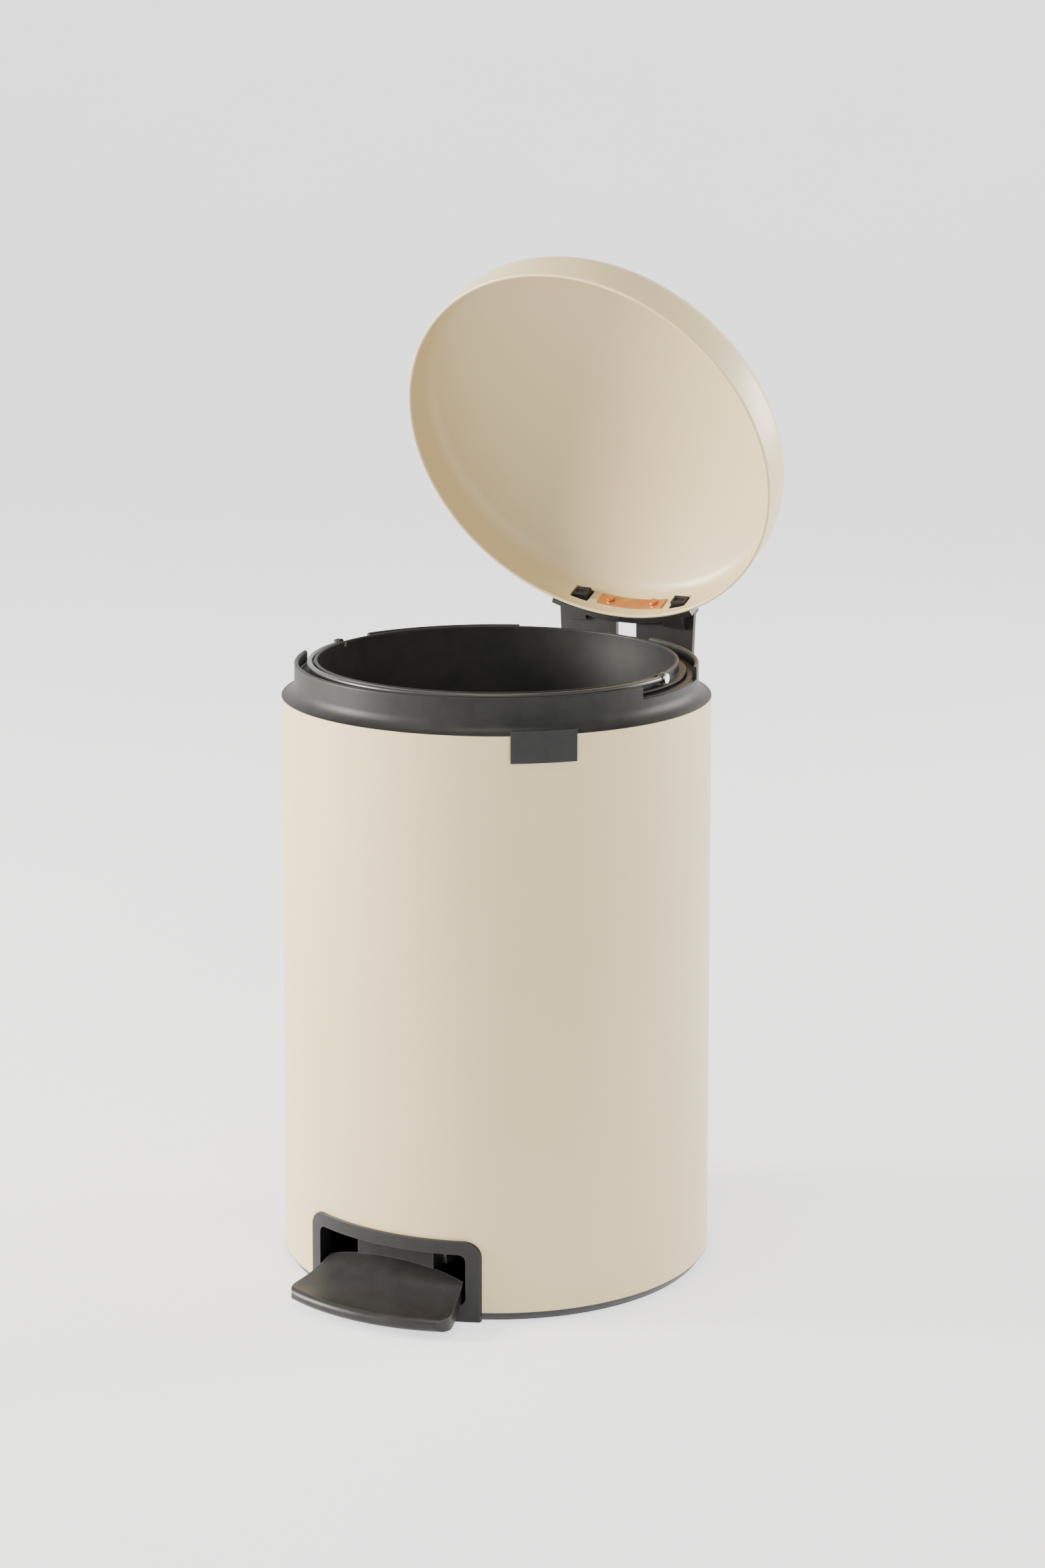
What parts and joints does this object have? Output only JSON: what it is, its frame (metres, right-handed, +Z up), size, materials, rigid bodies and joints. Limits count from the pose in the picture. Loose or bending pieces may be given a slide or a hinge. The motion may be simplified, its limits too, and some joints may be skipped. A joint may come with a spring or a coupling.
{
  "type": "pedal bin",
  "caption": "Round step-on waste bin with a domed hinged lid, front pedal, plastic collar and lift-out bucket, shown with the lid open.",
  "frame": {"origin": "on the floor at the centre of the round base", "axes": "+Z up, the pedal is towards -Y and the lid hinge is towards +Y"},
  "size_m": [0.25, 0.3425, 0.5818],
  "materials": {
    "shell_paint": "satin beige paint on sheet steel",
    "lid_paint": "satin beige paint on sheet steel",
    "collar_plastic": "fine moulded grain, charcoal",
    "trim_plastic": "satin moulded plastic, near black",
    "hinge_plastic": "satin moulded plastic, near black",
    "latch_plastic": "moulded plastic, black",
    "inner_plastic": "moulded plastic, dark grey",
    "pedal_plastic": "satin moulded plastic, charcoal",
    "bucket_plastic": "smooth moulded plastic, charcoal",
    "lever_steel": "zinc plated sheet",
    "pin_steel": "drawn steel",
    "wire_coat": "steel wire with a black coat",
    "screw_steel": "zinc plated",
    "spring_steel": "oiled spring wire",
    "copper_plate": "copper coloured strip",
    "washer_plastic": "natural acetal",
    "pad_rubber": "matt rubber"
  },
  "bodies": {
    "body": {"shell": "shell_paint", "foot_ring": "trim_plastic", "floor_rubber": "pad_rubber", "base_screws": "screw_steel", "base_pan": "inner_plastic", "pedal_surround": "trim_plastic", "collar": "collar_plastic", "bucket_pads": "pad_rubber", "label_tab": "trim_plastic", "hinge_housing": "hinge_plastic", "housing_screws": "screw_steel", "hinge_cover": "hinge_plastic", "cover_screws": "screw_steel", "hinge_pin": "pin_steel", "pin_clips": "pin_steel", "friction_washers": "washer_plastic", "rod_guides": "inner_plastic", "pivot_pin": "pin_steel", "return_spring": "spring_steel"},
    "lid": {"lid_shell": "lid_paint", "lid_bracket": "hinge_plastic", "lid_crank": "lever_steel", "crank_pin": "pin_steel", "spring_plate": "copper_plate", "lid_rivets": "copper_plate"},
    "latch_left": {"latch_left": "latch_plastic"},
    "latch_right": {"latch_right": "latch_plastic"},
    "pedal": {"pedal": "pedal_plastic", "pedal_lever": "lever_steel", "pedal_screws": "screw_steel"},
    "rod": {"push_rod": "pin_steel", "rod_foot": "inner_plastic", "rod_head": "inner_plastic"},
    "bucket": {"bucket": "bucket_plastic", "bail_studs": "pin_steel"},
    "bail": {"bail_handle": "wire_coat"}
  },
  "joints": [
    {"name": "lid_hinge", "type": "hinge", "parent": "body", "child": "lid", "pos_m": [0, 0.1525, 0.31549], "axis": [-1, 0, 0], "range_deg": [-65, 0]},
    {"name": "pedal_pivot", "type": "hinge", "parent": "body", "child": "pedal", "pos_m": [0, -0.075, 0.033], "axis": [1, 0, 0], "range_deg": [-11.06, 0]},
    {"name": "rod_lift", "type": "slide", "parent": "body", "child": "rod", "axis": [0, 0, 1], "range_m": [-0.03761, 0]},
    {"name": "bucket_lift", "type": "slide", "parent": "body", "child": "bucket", "axis": [0, 0, 1], "range_m": [0, 0.095]},
    {"name": "bail_swing", "type": "hinge", "parent": "bucket", "child": "bail", "pos_m": [0, 0, 0.351], "axis": [-1, 0, 0], "range_deg": [0, 95]},
    {"name": "latch_left_slide", "type": "slide", "parent": "lid", "child": "latch_left", "axis": [0, 0.4226, -0.9063], "range_m": [0, 0.002]},
    {"name": "latch_right_slide", "type": "slide", "parent": "lid", "child": "latch_right", "axis": [0, 0.4226, -0.9063], "range_m": [0, 0.002]}
  ],
  "couplings": [
    {"joint": "pedal_pivot", "follows": "lid_hinge", "ratio": 0.17007},
    {"joint": "rod_lift", "follows": "lid_hinge", "m_per_rad": 0.033154}
  ]
}
